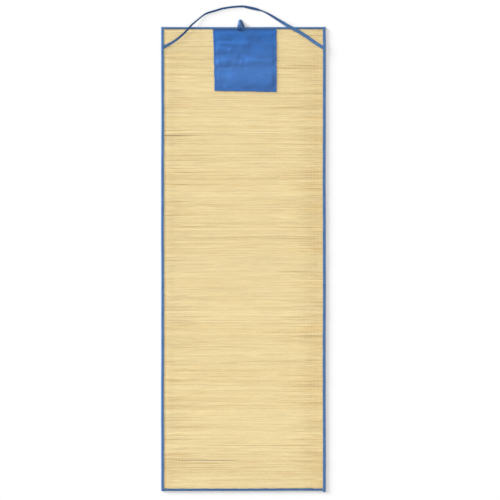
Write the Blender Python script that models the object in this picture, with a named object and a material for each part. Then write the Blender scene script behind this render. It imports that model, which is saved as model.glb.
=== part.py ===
"""Straw beach mat, 1.70 m by 0.60 m, lying flat on the floor.

A woven straw mat is bound on its four sides with folded cloth tape. A square cloth panel is sewn on
at the head end, a tape loop is sewn over the head binding, and a carry strap is caught under the two
side bindings and lies in an arch beyond the head end.

The origin is the middle of the mat's underside. +X runs across the mat, +Y towards the head end and
+Z up from the floor. All lengths are metres.
"""

import math

import bmesh
import bpy
from mathutils import Vector

MM = 0.001

# The finished mat, with its bindings
MAT_WIDTH = 603 * MM
MAT_LENGTH = 1700 * MM
HALF_WIDTH = MAT_WIDTH / 2
HALF_LENGTH = MAT_LENGTH / 2

# Woven straw
STRAW_THICKNESS = 2.4 * MM
STRAW_EDGE_THICKNESS = 1.8 * MM
EDGE_FLAT = 11 * MM
EDGE_RISE = 30 * MM
RISE_STEPS = 4
ROW_STEPS = 16

# Cloth tape, and the play that is left between pieces that touch
TAPE = 0.9 * MM
PLAY = 0.3 * MM
FOLD_DEPTH = 1.6 * MM
STRAW_INSET = 2.0 * MM
BINDING_LEFT = 10.0 * MM
BINDING_RIGHT = 10.5 * MM
BINDING_TOP = 8.0 * MM
BINDING_BOTTOM = 9.0 * MM
BUTT_GAP = 0.4 * MM

# How far the side bindings run past the ends of the mat: the left one's foot and head, then the right one's
PAST_LEFT = (1.0 * MM, 1.0 * MM)
PAST_RIGHT = (4.0 * MM, 1.2 * MM)

# Heights in the bound edge, from the floor up
STRAW_EDGE_BOTTOM = TAPE + PLAY
STRAW_EDGE_TOP = STRAW_EDGE_BOTTOM + STRAW_EDGE_THICKNESS
BINDING_HEIGHT = STRAW_EDGE_TOP + PLAY + TAPE

# Head panel, as it shows below the head binding, and how far it is tucked under that binding
PANEL_LEFT_TOP = -111.5 * MM
PANEL_LEFT_BOTTOM = -105.5 * MM
PANEL_RIGHT = 121.3 * MM
PANEL_DEPTH_LEFT = 234 * MM
PANEL_DEPTH_RIGHT = 238 * MM
PANEL_TUCK = 5.0 * MM
PANEL_CELLS = 24

# Soft ridges of the panel. From and to are shares of its width and depth, from its lower left corner.
#   from_x, from_y, to_x, to_y, half_width_mm, height_mm
PANEL_RIDGES = (
    (0.04, 0.76, 0.46, 0.80, 13, 1.5),
    (0.02, 0.50, 0.40, 0.42, 12, 1.7),
    (0.40, 0.42, 0.62, 0.28, 16, 1.2),
    (0.10, 0.22, 0.90, 0.27, 20, 1.6),
    (0.56, 0.50, 0.97, 0.47, 14, 1.3),
    (0.52, 0.90, 0.95, 0.80, 15, 1.2),
    (0.12, 0.08, 0.45, 0.05, 10, 0.8),
)
PANEL_HEM = 0.07

# Carry strap and closing loop, both of the same 12 mm tape
STRAP_STEP = 9 * MM
LOOP_STEP = 2.6 * MM

# The strap from its left end to its right end. The outer edge of the tape stands up where it leans.
#   across_mm is from the mat's middle line, beyond_mm is past the head end, lean_deg is 0 for a flat
#   tape and 90 for one on edge, and foot_mm is the height of its lower edge above the floor. Past 90
#   degrees the inner edge is the higher one. width_mm is less than 12 where the tape's edges curl under.
STRAP_ROUTE = (
    (-297.6, -76.7, 0, 3.3, 10.5),
    (-289.0, -72.5, 0, 3.3, 10.5),
    (-268.0, -61.2, 14, 3.2, 9.4),
    (-253.5, -52.4, 16, 3.0, 8.6),
    (-238.0, -41.0, 18, 2.9, 8.0),
    (-219.0, -24.5, 20, 3.3, 7.3),
    (-202.5, -8.0, 22, 4.6, 6.8),
    (-190.0, 6.5, 24, 4.2, 6.2),
    (-168.0, 26.0, 22, 1.5, 5.4),
    (-146.0, 43.8, 20, 0.5, 5.8),
    (-130.0, 52.0, 20, 0.4, 6.9),
    (-102.0, 60.1, 18, 0.4, 7.4),
    (-78.5, 67.3, 18, 0.4, 7.3),
    (-45.0, 73.0, 18, 0.4, 6.8),
    (-5.0, 75.8, 18, 0.4, 7.1),
    (20.5, 71.6, 16, 0.4, 9.0),
    (45.0, 66.0, 16, 0.4, 9.1),
    (66.0, 60.2, 24, 0.4, 5.0),
    (87.0, 50.8, 22, 0.4, 6.5),
    (106.0, 39.8, 20, 0.6, 8.2),
    (126.0, 27.1, 20, 1.2, 9.2),
    (146.0, 14.8, 18, 2.6, 10.8),
    (165.5, 2.5, 16, 4.7, 11.6),
    (185.0, -7.9, 14, 4.6, 12.0),
    (204.5, -18.3, 14, 4.0, 12.0),
    (234.0, -37.0, 8, 3.2, 12.0),
    (259.0, -55.0, 3, 3.0, 12.0),
    (284.0, -70.7, 0, 3.3, 12.0),
    (297.1, -79.0, 0, 3.3, 12.0),
)

# The loop from the left root to the right root, with the same columns as the strap. Its two legs lean
# together like a hood.
LOOP_ROUTE = (
    (-16.3, -13.0, 180, 4.6, 12.0),
    (-16.3, -8.0, 180, 5.8, 12.0),
    (-16.3, -2.0, 176, 5.8, 12.0),
    (-16.2, 2.7, 170, 4.9, 12.0),
    (-15.8, 6.4, 160, 3.4, 12.0),
    (-15.1, 10.0, 146, 2.2, 12.0),
    (-14.8, 13.7, 140, 1.3, 12.0),
    (-14.7, 17.4, 132, 0.7, 12.0),
    (-15.5, 21.3, 121, 0.5, 12.0),
    (-14.3, 24.2, 120, 0.4, 12.0),
    (-11.4, 25.4, 120, 0.4, 12.0),
    (-8.5, 24.2, 120, 0.4, 12.0),
    (-7.3, 21.3, 121, 0.5, 12.0),
    (-5.7, 17.4, 126, 0.7, 12.0),
    (-4.8, 13.7, 133, 1.3, 12.0),
    (-4.0, 10.0, 146, 2.2, 12.0),
    (-2.9, 6.4, 162, 3.4, 12.0),
    (-2.4, 2.7, 170, 4.9, 12.0),
    (-2.3, -2.0, 176, 5.8, 12.0),
    (-2.3, -8.0, 180, 5.8, 12.0),
    (-2.3, -13.0, 180, 4.6, 12.0),
)

# Where the side bindings swell over the strap's ends
STRAP_END_BEYOND = -76.5 * MM
STRAP_END_SPAN = 14 * MM
PANEL_SWELL_MARGIN = 3 * MM
SWELL_RAMP = 9 * MM
SWELL = TAPE + PLAY + 0.1 * MM

# The sides aren't ruled straight: each wanders by about half a millimetre
WANDER = 0.5 * MM
WANDER_LONG = 0.71
WANDER_SHORT = 0.29

BLUE = (0.055, 0.165, 0.47, 1.0)
PANEL_BLUE = (0.05, 0.17, 0.50, 1.0)
STRAW = (0.80, 0.62, 0.34, 1.0)


def clear_scene():
    for obj in list(bpy.data.objects):
        bpy.data.objects.remove(obj, do_unlink=True)


def smooth(t):
    """0 below t = 0, 1 above t = 1, and an even S between."""
    t = min(max(t, 0.0), 1.0)
    return t * t * (3 - 2 * t)


def wander(along, phase):
    """How far a side lies outside its straight line at this place along it."""
    slow = math.sin(2 * math.pi * along / WANDER_LONG + phase)
    quick = math.sin(2 * math.pi * along / WANDER_SHORT + 2.3 * phase)
    return WANDER * (0.7 * slow + 0.3 * quick)


def side_x(y, side):
    """The outer edge of the mat at this y. side is -1 for the left and 1 for the right."""
    return side * (HALF_WIDTH + wander(y, 1.0 + side))


def end_y(x, end):
    """The outer edge of the mat at this x. end is 1 for the head and -1 for the foot."""
    return end * (HALF_LENGTH + wander(x, 4.0 + end))


def edge_distance(x, y):
    """How far a point lies inside the nearest straight side of the mat."""
    return min(HALF_WIDTH - abs(x), HALF_LENGTH - abs(y))


def straw_lift(x, y):
    """1 in the bound edge, where the straw lies on the tape, and 0 where it lies on the floor."""
    return 1 - smooth((edge_distance(x, y) - EDGE_FLAT) / EDGE_RISE)


def straw_bottom(x, y):
    return STRAW_EDGE_BOTTOM * straw_lift(x, y)


def straw_top(x, y):
    lift = straw_lift(x, y)
    return STRAW_THICKNESS + (STRAW_EDGE_TOP - STRAW_THICKNESS) * lift


def material(name, colour, roughness, metallic=0.0):
    finish = bpy.data.materials.new(name)
    finish.use_nodes = True
    shader = finish.node_tree.nodes["Principled BSDF"]
    shader.inputs["Base Color"].default_value = colour
    shader.inputs["Roughness"].default_value = roughness
    shader.inputs["Metallic"].default_value = metallic
    return finish


def cloth_solid(name, outer, inner, finish):
    """One closed solid between two grids of points, row by row, that face each other."""
    rows, columns = len(outer), len(outer[0])
    bm = bmesh.new()
    top = [[bm.verts.new(point) for point in row] for row in outer]
    low = [[bm.verts.new(point) for point in row] for row in inner]
    for j in range(rows - 1):
        for i in range(columns - 1):
            bm.faces.new((top[j][i], top[j][i + 1], top[j + 1][i + 1], top[j + 1][i]))
            bm.faces.new((low[j][i], low[j + 1][i], low[j + 1][i + 1], low[j][i + 1]))
    for i in range(columns - 1):
        bm.faces.new((top[0][i], low[0][i], low[0][i + 1], top[0][i + 1]))
        bm.faces.new((top[-1][i], top[-1][i + 1], low[-1][i + 1], low[-1][i]))
    for j in range(rows - 1):
        bm.faces.new((top[j][0], top[j + 1][0], low[j + 1][0], low[j][0]))
        bm.faces.new((top[j][-1], low[j][-1], low[j + 1][-1], top[j + 1][-1]))
    bmesh.ops.recalc_face_normals(bm, faces=bm.faces)
    mesh = bpy.data.meshes.new(name)
    bm.to_mesh(mesh)
    bm.free()
    mesh.materials.append(finish)
    mesh.shade_smooth()
    mesh.set_sharp_from_angle(angle=math.radians(40))
    obj = bpy.data.objects.new(name, mesh)
    bpy.context.scene.collection.objects.link(obj)
    return obj


def rising_lines(half):
    """Grid lines from -half to half, close together where the straw rises to its bound edge."""
    marks = [STRAW_INSET, EDGE_FLAT]
    marks += [EDGE_FLAT + EDGE_RISE * (k + 1) / RISE_STEPS for k in range(RISE_STEPS)]
    low = [-half + mark for mark in marks]
    return low + [-mark for mark in reversed(low)]


def wandered(x, y):
    """A point of the straight-sided grid, carried along with the wandering sides near it."""
    side, end = math.copysign(1, x), math.copysign(1, y)
    near_side = smooth((abs(x) / HALF_WIDTH - 0.8) / 0.2)
    near_end = smooth((abs(y) / HALF_LENGTH - 0.9) / 0.1)
    out_x = side * wander(y, 1.0 + side) * near_side
    out_y = end * wander(x, 4.0 + end) * near_end
    return x + out_x, y + out_y


def straw_mat(finish):
    """The woven straw, pressed thinner where it is bound and flat on the floor elsewhere."""
    columns, rows = rising_lines(HALF_WIDTH), rising_lines(HALF_LENGTH)
    middle = len(rows) // 2
    first, last = rows[middle - 1], rows[middle]
    rows[middle:middle] = [first + (last - first) * k / ROW_STEPS for k in range(1, ROW_STEPS)]
    top, low = [], []
    for y in rows:
        top.append([(*wandered(x, y), straw_top(x, y)) for x in columns])
        low.append([(*wandered(x, y), straw_bottom(x, y)) for x in columns])
    return cloth_solid("straw_mat", top, low, finish)


def fold_profile(width, height, offset):
    """The tape's section round an edge, from its lower leg's edge to its upper leg's edge.

    Each point is how far it lies inside the mat's outline and how high. offset is 0 for the outer face
    and the tape's thickness for the inner one.
    """
    legs = (width, width * 0.55, FOLD_DEPTH)
    low = [(inside, offset) for inside in legs]
    high = [(inside, height - offset) for inside in reversed(legs)]
    turn = []
    for degrees in (-60, -30, 0, 30, 60):
        angle = math.radians(degrees)
        inside = FOLD_DEPTH - (FOLD_DEPTH - offset) * math.cos(angle)
        turn.append((inside, height / 2 + (height / 2 - offset) * math.sin(angle)))
    return low + turn + high


def binding(name, width, stations, heights, place, finish):
    """A tape folded over one edge. place turns a station and a point of its section into a position."""
    outer, inner = [], []
    for station, height in zip(stations, heights):
        outer.append([place(station, *point) for point in fold_profile(width, height, 0)])
        inner.append([place(station, *point) for point in fold_profile(width, height, TAPE)])
    return cloth_solid(name, outer, inner, finish)


def swell(distance, span):
    """The extra height of a binding over what is sewn in under it."""
    return SWELL * (1 - smooth((abs(distance) - span) / SWELL_RAMP))


def side_binding(name, side, width, past, finish):
    """The tape down one side. It runs past both ends of the straw, where it is pressed together."""
    strap_y = HALF_LENGTH + STRAP_END_BEYOND
    straw_end = HALF_LENGTH - STRAW_INSET + WANDER + PLAY
    reach = STRAP_END_SPAN + SWELL_RAMP
    stations = [-HALF_LENGTH - past[0], -straw_end]
    stations += [-HALF_LENGTH + 12 * MM]
    stations += [HALF_LENGTH * k / 9 for k in range(-8, 8)]
    stations += [strap_y + reach * k / 8 for k in range(-8, 9)]
    stations += [HALF_LENGTH - 12 * MM]
    stations += [straw_end, HALF_LENGTH + past[1]]
    heights = [BINDING_HEIGHT + swell(y - strap_y, STRAP_END_SPAN) for y in stations]
    heights[0] = heights[-1] = 2 * TAPE + PLAY

    def place(y, inside, height):
        return side_x(y, side) - side * inside, y, height

    return binding(name, width, stations, heights, place, finish)


def end_binding(name, end, width, finish):
    """The tape across one end, between the two side bindings. At the head it swells over the panel."""
    left = -HALF_WIDTH + BINDING_LEFT + WANDER + BUTT_GAP
    right = HALF_WIDTH - BINDING_RIGHT - WANDER - BUTT_GAP
    stations = [left + (right - left) * k / 10 for k in range(11)]
    heights = [BINDING_HEIGHT] * len(stations)
    if end > 0:
        middle = (PANEL_LEFT_TOP + PANEL_RIGHT) / 2
        span = (PANEL_RIGHT - PANEL_LEFT_TOP) / 2 + PANEL_SWELL_MARGIN
        ramp = [span + SWELL_RAMP * k / 3 for k in range(4)]
        swelling = [middle - reach for reach in reversed(ramp)]
        swelling += [middle + span * k / 3 for k in (-2, -1, 0, 1, 2)]
        swelling += [middle + reach for reach in ramp]
        outside = [x for x in stations if abs(x - middle) > ramp[-1] + SWELL_RAMP]
        stations = sorted(outside + swelling)
        heights = [BINDING_HEIGHT + swell(x - middle, span) for x in stations]

    def place(x, inside, height):
        return x, end_y(x, end) - end * inside, height

    return binding(name, width, stations, heights, place, finish)


def ridge_height(share_x, share_y, wide, deep):
    """The height of the panel's soft ridges at a place given in shares of its width and depth."""
    height = 0.0
    here = Vector((share_x * wide, share_y * deep))
    for from_x, from_y, to_x, to_y, half_width, top in PANEL_RIDGES:
        start = Vector((from_x * wide, from_y * deep))
        run = Vector((to_x * wide, to_y * deep)) - start
        t = min(max((here - start).dot(run) / run.length_squared, 0.0), 1.0)
        away = (here - start - run * t).length / (half_width * MM)
        height = max(height, top * MM * math.exp(-away * away))
    border = min(share_x, 1 - share_x, share_y, 1 - share_y)
    return height * smooth(border / PANEL_HEM)


def head_panel(finish):
    """The square cloth panel, sewn down round its border and slightly puckered inside it."""
    top_y = HALF_LENGTH - BINDING_TOP + PANEL_TUCK
    top, low = [], []
    shares = [k / PANEL_CELLS for k in range(PANEL_CELLS + 1)]
    for share_y in shares:
        outer_row, inner_row = [], []
        for share_x in shares:
            left = PANEL_LEFT_BOTTOM + (PANEL_LEFT_TOP - PANEL_LEFT_BOTTOM) * share_y
            x = left + (PANEL_RIGHT - left) * share_x
            depth = PANEL_DEPTH_LEFT + (PANEL_DEPTH_RIGHT - PANEL_DEPTH_LEFT) * share_x
            bottom_y = HALF_LENGTH - depth
            y = bottom_y + (top_y - bottom_y) * share_y
            puff = ridge_height(share_x, share_y, PANEL_RIGHT - left, depth)
            z = straw_top(x, y) + PLAY + puff
            inner_row.append((x, y, z))
            outer_row.append((x, y, z + TAPE))
        top.append(outer_row)
        low.append(inner_row)
    return cloth_solid("head_panel", top, low, finish)


def route_points(route, step):
    """Stations about one step apart on a smooth curve through a route's rows.

    Each is its place in the plane, the tape's lean in radians, the height of its lower edge and its width.
    """
    rows = [
        Vector((x * MM, y * MM, math.radians(lean), foot * MM, width * MM))
        for x, y, lean, foot, width in route
    ]
    found = []
    for k in range(len(rows) - 1):
        before, here = rows[max(k - 1, 0)], rows[k]
        there, after = rows[k + 1], rows[min(k + 2, len(rows) - 1)]
        cuts = max(1, round((there.xy - here.xy).length / step))
        for cut in range(cuts):
            t = cut / cuts
            found.append(
                0.5
                * (
                    2 * here
                    + (there - before) * t
                    + (2 * before - 5 * here + 4 * there - after) * t * t
                    + (3 * here - before - 3 * there + after) * t * t * t
                )
            )
    found.append(rows[-1])
    return found


def tape_run(name, route, step, ends_along, finish):
    """A flat tape along a route, its outer edge raised where it leans, or its inner one past 90 degrees.

    ends_along is the direction in which its two ends are cut: the line of what they are sewn to.
    """
    stations = route_points(route, step)
    top, low = [], []
    for k, station in enumerate(stations):
        behind, ahead = stations[max(k - 1, 0)], stations[min(k + 1, len(stations) - 1)]
        way = (ahead.xy - behind.xy).normalized()
        outward = Vector((-way.y, way.x, 0))
        if k in (0, len(stations) - 1):
            cut = Vector(ends_along)
            outward = cut * math.copysign(1, cut.dot(outward)) / abs(cut.dot(outward))
        lean, foot, width = max(station.z, 0.0), station.w, station[4]
        across = outward * math.cos(lean) + Vector((0, 0, math.sin(lean)))
        face = -Vector((-way.y, way.x, 0)) * math.sin(lean) + Vector((0, 0, math.cos(lean)))
        middle_z = foot + width / 2 * math.sin(lean) + TAPE / 2 * abs(math.cos(lean))
        middle = Vector((station.x, HALF_LENGTH + station.y, middle_z))
        spread = [across * (width * share) for share in (-0.5, 0.0, 0.5)]
        top.append([middle + side + face * (TAPE / 2) for side in spread])
        low.append([middle + side - face * (TAPE / 2) for side in spread])
    return cloth_solid(name, top, low, finish)


def main():
    clear_scene()
    straw = material("woven_straw", STRAW, 0.75)
    tape = material("blue_tape", BLUE, 0.6)
    satin = material("blue_panel_cloth", PANEL_BLUE, 0.42)
    straw_mat(straw)
    side_binding("binding_left", -1, BINDING_LEFT, PAST_LEFT, tape)
    side_binding("binding_right", 1, BINDING_RIGHT, PAST_RIGHT, tape)
    end_binding("binding_top", 1, BINDING_TOP, tape)
    end_binding("binding_bottom", -1, BINDING_BOTTOM, tape)
    head_panel(satin)
    tape_run("carry_strap", STRAP_ROUTE, STRAP_STEP, (0, 1, 0), tape)
    tape_run("closing_loop", LOOP_ROUTE, LOOP_STEP, (1, 0, 0), tape)


main()
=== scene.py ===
# %% [markdown]
# # A straw beach mat
# The real mat is woven straw, bound all round with folded blue tape. A square cloth panel is sewn on
# at its head end, with a small tape loop and a carry strap. Here it lies flat on a white floor. The
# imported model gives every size, and each cell below makes one finish or one piece over it.

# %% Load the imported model
import math

import bpy
import numpy as np
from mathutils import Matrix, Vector


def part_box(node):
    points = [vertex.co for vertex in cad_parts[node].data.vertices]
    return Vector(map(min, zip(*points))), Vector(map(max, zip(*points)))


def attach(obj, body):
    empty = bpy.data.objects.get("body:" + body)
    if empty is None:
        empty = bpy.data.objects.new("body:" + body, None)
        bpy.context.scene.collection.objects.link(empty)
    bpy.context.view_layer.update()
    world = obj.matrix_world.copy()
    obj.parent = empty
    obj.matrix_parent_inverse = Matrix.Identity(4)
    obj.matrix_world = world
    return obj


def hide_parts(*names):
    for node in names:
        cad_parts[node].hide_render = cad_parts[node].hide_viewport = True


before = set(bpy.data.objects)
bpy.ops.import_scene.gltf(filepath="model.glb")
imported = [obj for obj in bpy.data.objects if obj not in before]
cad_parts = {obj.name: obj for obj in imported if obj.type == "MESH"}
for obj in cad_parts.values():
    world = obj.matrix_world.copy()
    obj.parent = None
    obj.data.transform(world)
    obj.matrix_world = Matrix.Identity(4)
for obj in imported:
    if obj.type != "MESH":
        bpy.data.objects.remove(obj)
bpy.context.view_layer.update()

MM = 0.001
straw_low, straw_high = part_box("straw_mat")
HALF_WIDTH = 301.5 * MM
HALF_LENGTH = 850 * MM

# %% [markdown]
# ## Camera
# The photograph looks straight down on the mat, from a little above and to the right of its middle.
# A long lens at four metres keeps the sides parallel, as they are there. One pixel of the photograph
# is 3.668 mm on the floor, which the mat's width of 603 mm over 164.3 pixels gives.

# %% Camera
PIXEL = 3.668 * MM
PHOTO_SIDE = 500
MAT_CENTRE_PIXEL = (243.45, 258.93)
CAMERA_HEIGHT = 4.0

aim_x = (PHOTO_SIDE / 2 - MAT_CENTRE_PIXEL[0]) * PIXEL
aim_y = (MAT_CENTRE_PIXEL[1] - PHOTO_SIDE / 2) * PIXEL
bpy.ops.object.camera_add(location=(aim_x, aim_y, CAMERA_HEIGHT), rotation=(0, 0, 0))
camera = bpy.context.object
camera.name = "camera"
camera.data.sensor_width = 36
camera.data.lens = 36 * CAMERA_HEIGHT / (PHOTO_SIDE * PIXEL)
bpy.context.scene.camera = camera
print("lens", round(camera.data.lens, 1), "mm")

# %% [markdown]
# ## Light
# The photograph has a pure white ground and a soft shadow that falls to the right of the mat and a
# little below it. A white world gives even light from all round. One wide sun, low on the left and
# a little towards the head end, gives the rest: its soft edge makes the shadow fade over 3 cm, and
# its low angle shows up the folds of the cloth.

# %% Light and floor
SUN_HEIGHT = 9.0
SUN_TURN = 33
SUN_WIDTH = 17
SUN_SHARE = 0.30
FLOOR_WHITE = 0.80
GROUND_LEVEL = 1.02

scene = bpy.context.scene
scene.view_settings.view_transform = "Standard"
scene.view_settings.look = "None"

world = bpy.data.worlds.new("white_room")
world.use_nodes = True
sky = world.node_tree.nodes["Background"]
sky.inputs["Color"].default_value = (1, 1, 1, 1)
sky.inputs["Strength"].default_value = (1 - SUN_SHARE) * GROUND_LEVEL / FLOOR_WHITE
scene.world = world

bpy.ops.object.light_add(type="SUN", location=(-2, 1, 1))
sun = bpy.context.object
sun.name = "low_soft_sun"
height, turn = math.radians(SUN_HEIGHT), math.radians(SUN_TURN)
level = math.cos(height)
towards_sun = Vector((-math.cos(turn) * level, math.sin(turn) * level, math.sin(height)))
sun.rotation_euler = towards_sun.to_track_quat("Z", "Y").to_euler()
sun.data.angle = math.radians(SUN_WIDTH)
sun.data.energy = SUN_SHARE * GROUND_LEVEL / FLOOR_WHITE * math.pi / math.sin(height)

bpy.ops.mesh.primitive_plane_add(size=60, location=(0, 0, 0))
floor = bpy.context.object
floor.name = "white_floor"
floor.data.materials.append(bpy.data.materials.new("matt_white_paper"))
paper = floor.data.materials[0]
paper.use_nodes = True
paper_shader = paper.node_tree.nodes["Principled BSDF"]
paper_shader.inputs["Base Color"].default_value = (FLOOR_WHITE, FLOOR_WHITE, FLOOR_WHITE, 1)
paper_shader.inputs["Roughness"].default_value = 1.0
paper_shader.inputs["Specular IOR Level"].default_value = 0.0
print("sun strength", round(sun.data.energy, 2))

# %% [markdown]
# ## Two small helpers for the finishes
# Colours are written as the hex values that a screen shows, and one function turns them into the
# linear values that Blender works in. Another adds a node with its settings and its links.

# %% Helpers for the finishes
def linear(colour):
    """A screen colour such as "#4B73AF" as linear red, green, blue and alpha."""
    shown = [int(colour[k:k + 2], 16) / 255 for k in (1, 3, 5)]
    return (*[c / 12.92 if c <= 0.04045 else ((c + 0.055) / 1.055) ** 2.4 for c in shown], 1.0)


def add_node(tree, kind, links=(), **settings):
    """A new node. links are (output socket, input name or number). Other names are its settings, and
    those that are its sockets' names, with _ for a space, set the socket."""
    node = tree.nodes.new(kind)
    for name, value in settings.items():
        socket = node.inputs.get(name.replace("_", " "))
        if socket is not None and not hasattr(node, name):
            socket.default_value = value
        else:
            setattr(node, name, value)
    for output, place in links:
        tree.links.new(output, node.inputs[place])
    return node


def new_finish(name, roughness, colour="#FFFFFF"):
    """An empty material with a Principled shader, its node tree and that shader."""
    finish = bpy.data.materials.new(name)
    finish.use_nodes = True
    shader = finish.node_tree.nodes["Principled BSDF"]
    shader.inputs["Base Color"].default_value = linear(colour)
    shader.inputs["Roughness"].default_value = roughness
    return finish, finish.node_tree, shader


def set_ramp(ramp, *stops):
    """Gives a colour ramp its stops, each a place from 0 to 1 and a screen colour."""
    elements = ramp.color_ramp.elements
    while len(elements) < len(stops):
        elements.new(1.0)
    for element, (place, colour) in zip(elements, stops):
        element.position = place
        element.color = linear(colour)


# %% [markdown]
# ## The straw's finish
# The stems are dried rush, pressed nearly flat. Their skin is a dull pale gold with fine fibres along
# the stem, and no two stems have quite the same tone. The mesh carries two numbers for that:
# "ripeness" picks a colour from pale to brown, and "shade" makes the stem lighter or darker along
# its length. The fibres are really about 0.2 mm wide, and are drawn 0.5 mm wide so that they show.

# %% Straw finish
FIBRE_WIDTH = 0.5 * MM
FIBRE_LENGTH = 30 * MM

straw_finish, tree, shader = new_finish("dried_rush_straw", 0.5)
ripeness = add_node(tree, "ShaderNodeAttribute", attribute_name="ripeness")
shade = add_node(tree, "ShaderNodeAttribute", attribute_name="shade")
ramp = add_node(tree, "ShaderNodeValToRGB", [(ripeness.outputs["Fac"], "Fac")])
set_ramp(ramp, (0.0, "#E5D6A8"), (0.35, "#DDC997"), (0.65, "#CFAE72"), (1.0, "#96703C"))
place = add_node(tree, "ShaderNodeTexCoord")
spread = add_node(
    tree, "ShaderNodeMapping", [(place.outputs["Object"], "Vector")],
    Scale=(1 / FIBRE_LENGTH, 1 / FIBRE_WIDTH, 1 / FIBRE_WIDTH),
)
fibres = add_node(
    tree, "ShaderNodeTexNoise", [(spread.outputs["Vector"], "Vector")], Scale=1.0, Detail=2.0, Roughness=0.6
)
fibre_tone = add_node(
    tree, "ShaderNodeMapRange", [(fibres.outputs["Fac"], "Value")],
    From_Min=0.25, From_Max=0.75, To_Min=0.90, To_Max=1.08,
)
tone = add_node(
    tree, "ShaderNodeMath", [(shade.outputs["Fac"], 0), (fibre_tone.outputs["Result"], 1)],
    operation="MULTIPLY",
)
tinted = add_node(
    tree, "ShaderNodeVectorMath", [(ramp.outputs["Color"], 0), (tone.outputs["Value"], "Scale")],
    operation="SCALE",
)
tree.links.new(tinted.outputs["Vector"], shader.inputs["Base Color"])
ridges = add_node(
    tree, "ShaderNodeBump", [(fibres.outputs["Fac"], "Height")], Strength=0.5, Distance=0.08 * MM
)
tree.links.new(ridges.outputs["Normal"], shader.inputs["Normal"])
shader.inputs["Specular IOR Level"].default_value = 0.35
print("straw finish has", len(tree.nodes), "nodes")

# %% [markdown]
# ## The straw's shape
# Some 650 stems lie side by side across the mat. They could be bump on a flat sheet, but then the
# mat would be smooth when seen low from the side, so each stem is a real one. One stem is modelled
# first: a cylinder of six sides, flattened, and cut into short lengths so that it can bend. It is then
# copied to every place in the mat. Each copy gets its own width, its own gentle bend and its own tones,
# and its cuts are closest near the bindings, where the straw rises.
# A stem is about 2.6 mm wide, and lies 1.2 mm higher in the bound edge, where the tape is under it.

# %% One stem
STEM_CUTS = 21

bpy.ops.object.select_all(action="DESELECT")
bpy.ops.mesh.primitive_cylinder_add(vertices=6, radius=0.5, depth=1.0, rotation=(0, math.pi / 2, 0))
stem = bpy.context.object
bpy.ops.object.transform_apply(location=False, rotation=True, scale=False)
bpy.ops.object.mode_set(mode="EDIT")
bpy.ops.mesh.select_mode(type="EDGE")
bpy.ops.mesh.select_all(action="DESELECT")
bpy.ops.object.mode_set(mode="OBJECT")
for edge in stem.data.edges:
    ends = [stem.data.vertices[v].co.x for v in edge.vertices]
    edge.select = abs(ends[0] - ends[1]) > 0.5
bpy.ops.object.mode_set(mode="EDIT")
bpy.ops.mesh.subdivide(number_cuts=STEM_CUTS)
bpy.ops.object.mode_set(mode="OBJECT")
stem_points = np.array([v.co[:] for v in stem.data.vertices])
stem_faces = [list(f.vertices) for f in stem.data.polygons]
bpy.data.objects.remove(stem)
print("one stem has", len(stem_points), "points and", len(stem_faces), "faces")

# %% How the mat lies
STEM_PITCH = 2.6 * MM
EDGE_FLAT = 11 * MM
EDGE_RISE = 30 * MM
STRAW_INSET = 2.0 * MM
TAPE_LEG = 1.2 * MM
FIELD_THICK = 2.4 * MM
BOUND_THICK = 1.8 * MM


def smooth(t):
    """0 below t = 0, 1 above t = 1, and an even S between."""
    t = np.clip(t, 0.0, 1.0)
    return t * t * (3 - 2 * t)


def straw_lift(x, y):
    """1 in the bound edge and 0 where the straw lies on the floor."""
    inside = np.minimum(HALF_WIDTH - np.abs(x), HALF_LENGTH - np.abs(y))
    return 1 - smooth((inside - EDGE_FLAT) / EDGE_RISE)


def straw_bottom(x, y):
    return TAPE_LEG * straw_lift(x, y)


def straw_top(x, y):
    return FIELD_THICK + (TAPE_LEG + BOUND_THICK - FIELD_THICK) * straw_lift(x, y)


def wander(along, phase):
    """How far a side of the mat lies outside its straight line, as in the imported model."""
    slow = np.sin(2 * np.pi * along / 0.71 + phase)
    quick = np.sin(2 * np.pi * along / 0.29 + 2.3 * phase)
    return 0.5 * MM * (0.7 * slow + 0.3 * quick)


def side_x(y, side):
    return side * (HALF_WIDTH + wander(y, 1.0 + side))


def end_y(x, end):
    return end * (HALF_LENGTH + wander(x, 4.0 + end))


# %% Where each stem runs
# The straw's waves, each a height, a length across and a length along the mat, and a start
STRAW_WAVES = (
    (0.8 * MM, 0.62, 0.37, 0.7),
    (0.4 * MM, 0.33, -0.29, 2.1),
    (0.15 * MM, 0.15, 0.17, 4.0),
)
# Places where two stems stand apart: along the mat, from and to across it, and how far they open
STRAW_GAPS = (
    (-739 * MM, -262 * MM, -5 * MM, 0.7 * MM),
    (-686 * MM, -150 * MM, 290 * MM, 0.25 * MM),
    (-812 * MM, -150 * MM, 285 * MM, 0.25 * MM),
    (708 * MM, 132 * MM, 292 * MM, 0.3 * MM),
)
GAP_REACH = 7 * MM


def stem_line(x, y):
    """Where the straw that belongs at x, y really lies along the mat."""
    bend = sum(high * np.sin(2 * np.pi * (x / across + y / along) + start)
               for high, across, along, start in STRAW_WAVES)
    for gap_y, start, end, opening in STRAW_GAPS:
        share = np.clip((x - start) / (end - start), 0, 1)
        away = y - gap_y
        bend = bend + opening * np.sin(np.pi * share) * np.sign(away) * np.exp(-np.abs(away) / GAP_REACH)
    return y + bend * smooth((HALF_LENGTH - np.abs(y)) / (60 * MM))


# %% Lay all the stems
rng = np.random.default_rng(11)
first_y = -HALF_LENGTH + STRAW_INSET + STEM_PITCH / 2
stem_count = round(2 * -first_y / STEM_PITCH) + 1
widths = rng.uniform(0.85, 1.15, stem_count)
edges = np.concatenate([[0], np.cumsum(widths)])
edges = -HALF_LENGTH + STRAW_INSET + edges / edges[-1] * 2 * (HALF_LENGTH - STRAW_INSET)
stem_y = (edges[1:] + edges[:-1]) / 2
stem_width = (edges[1:] - edges[:-1]) * 1.04

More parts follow.
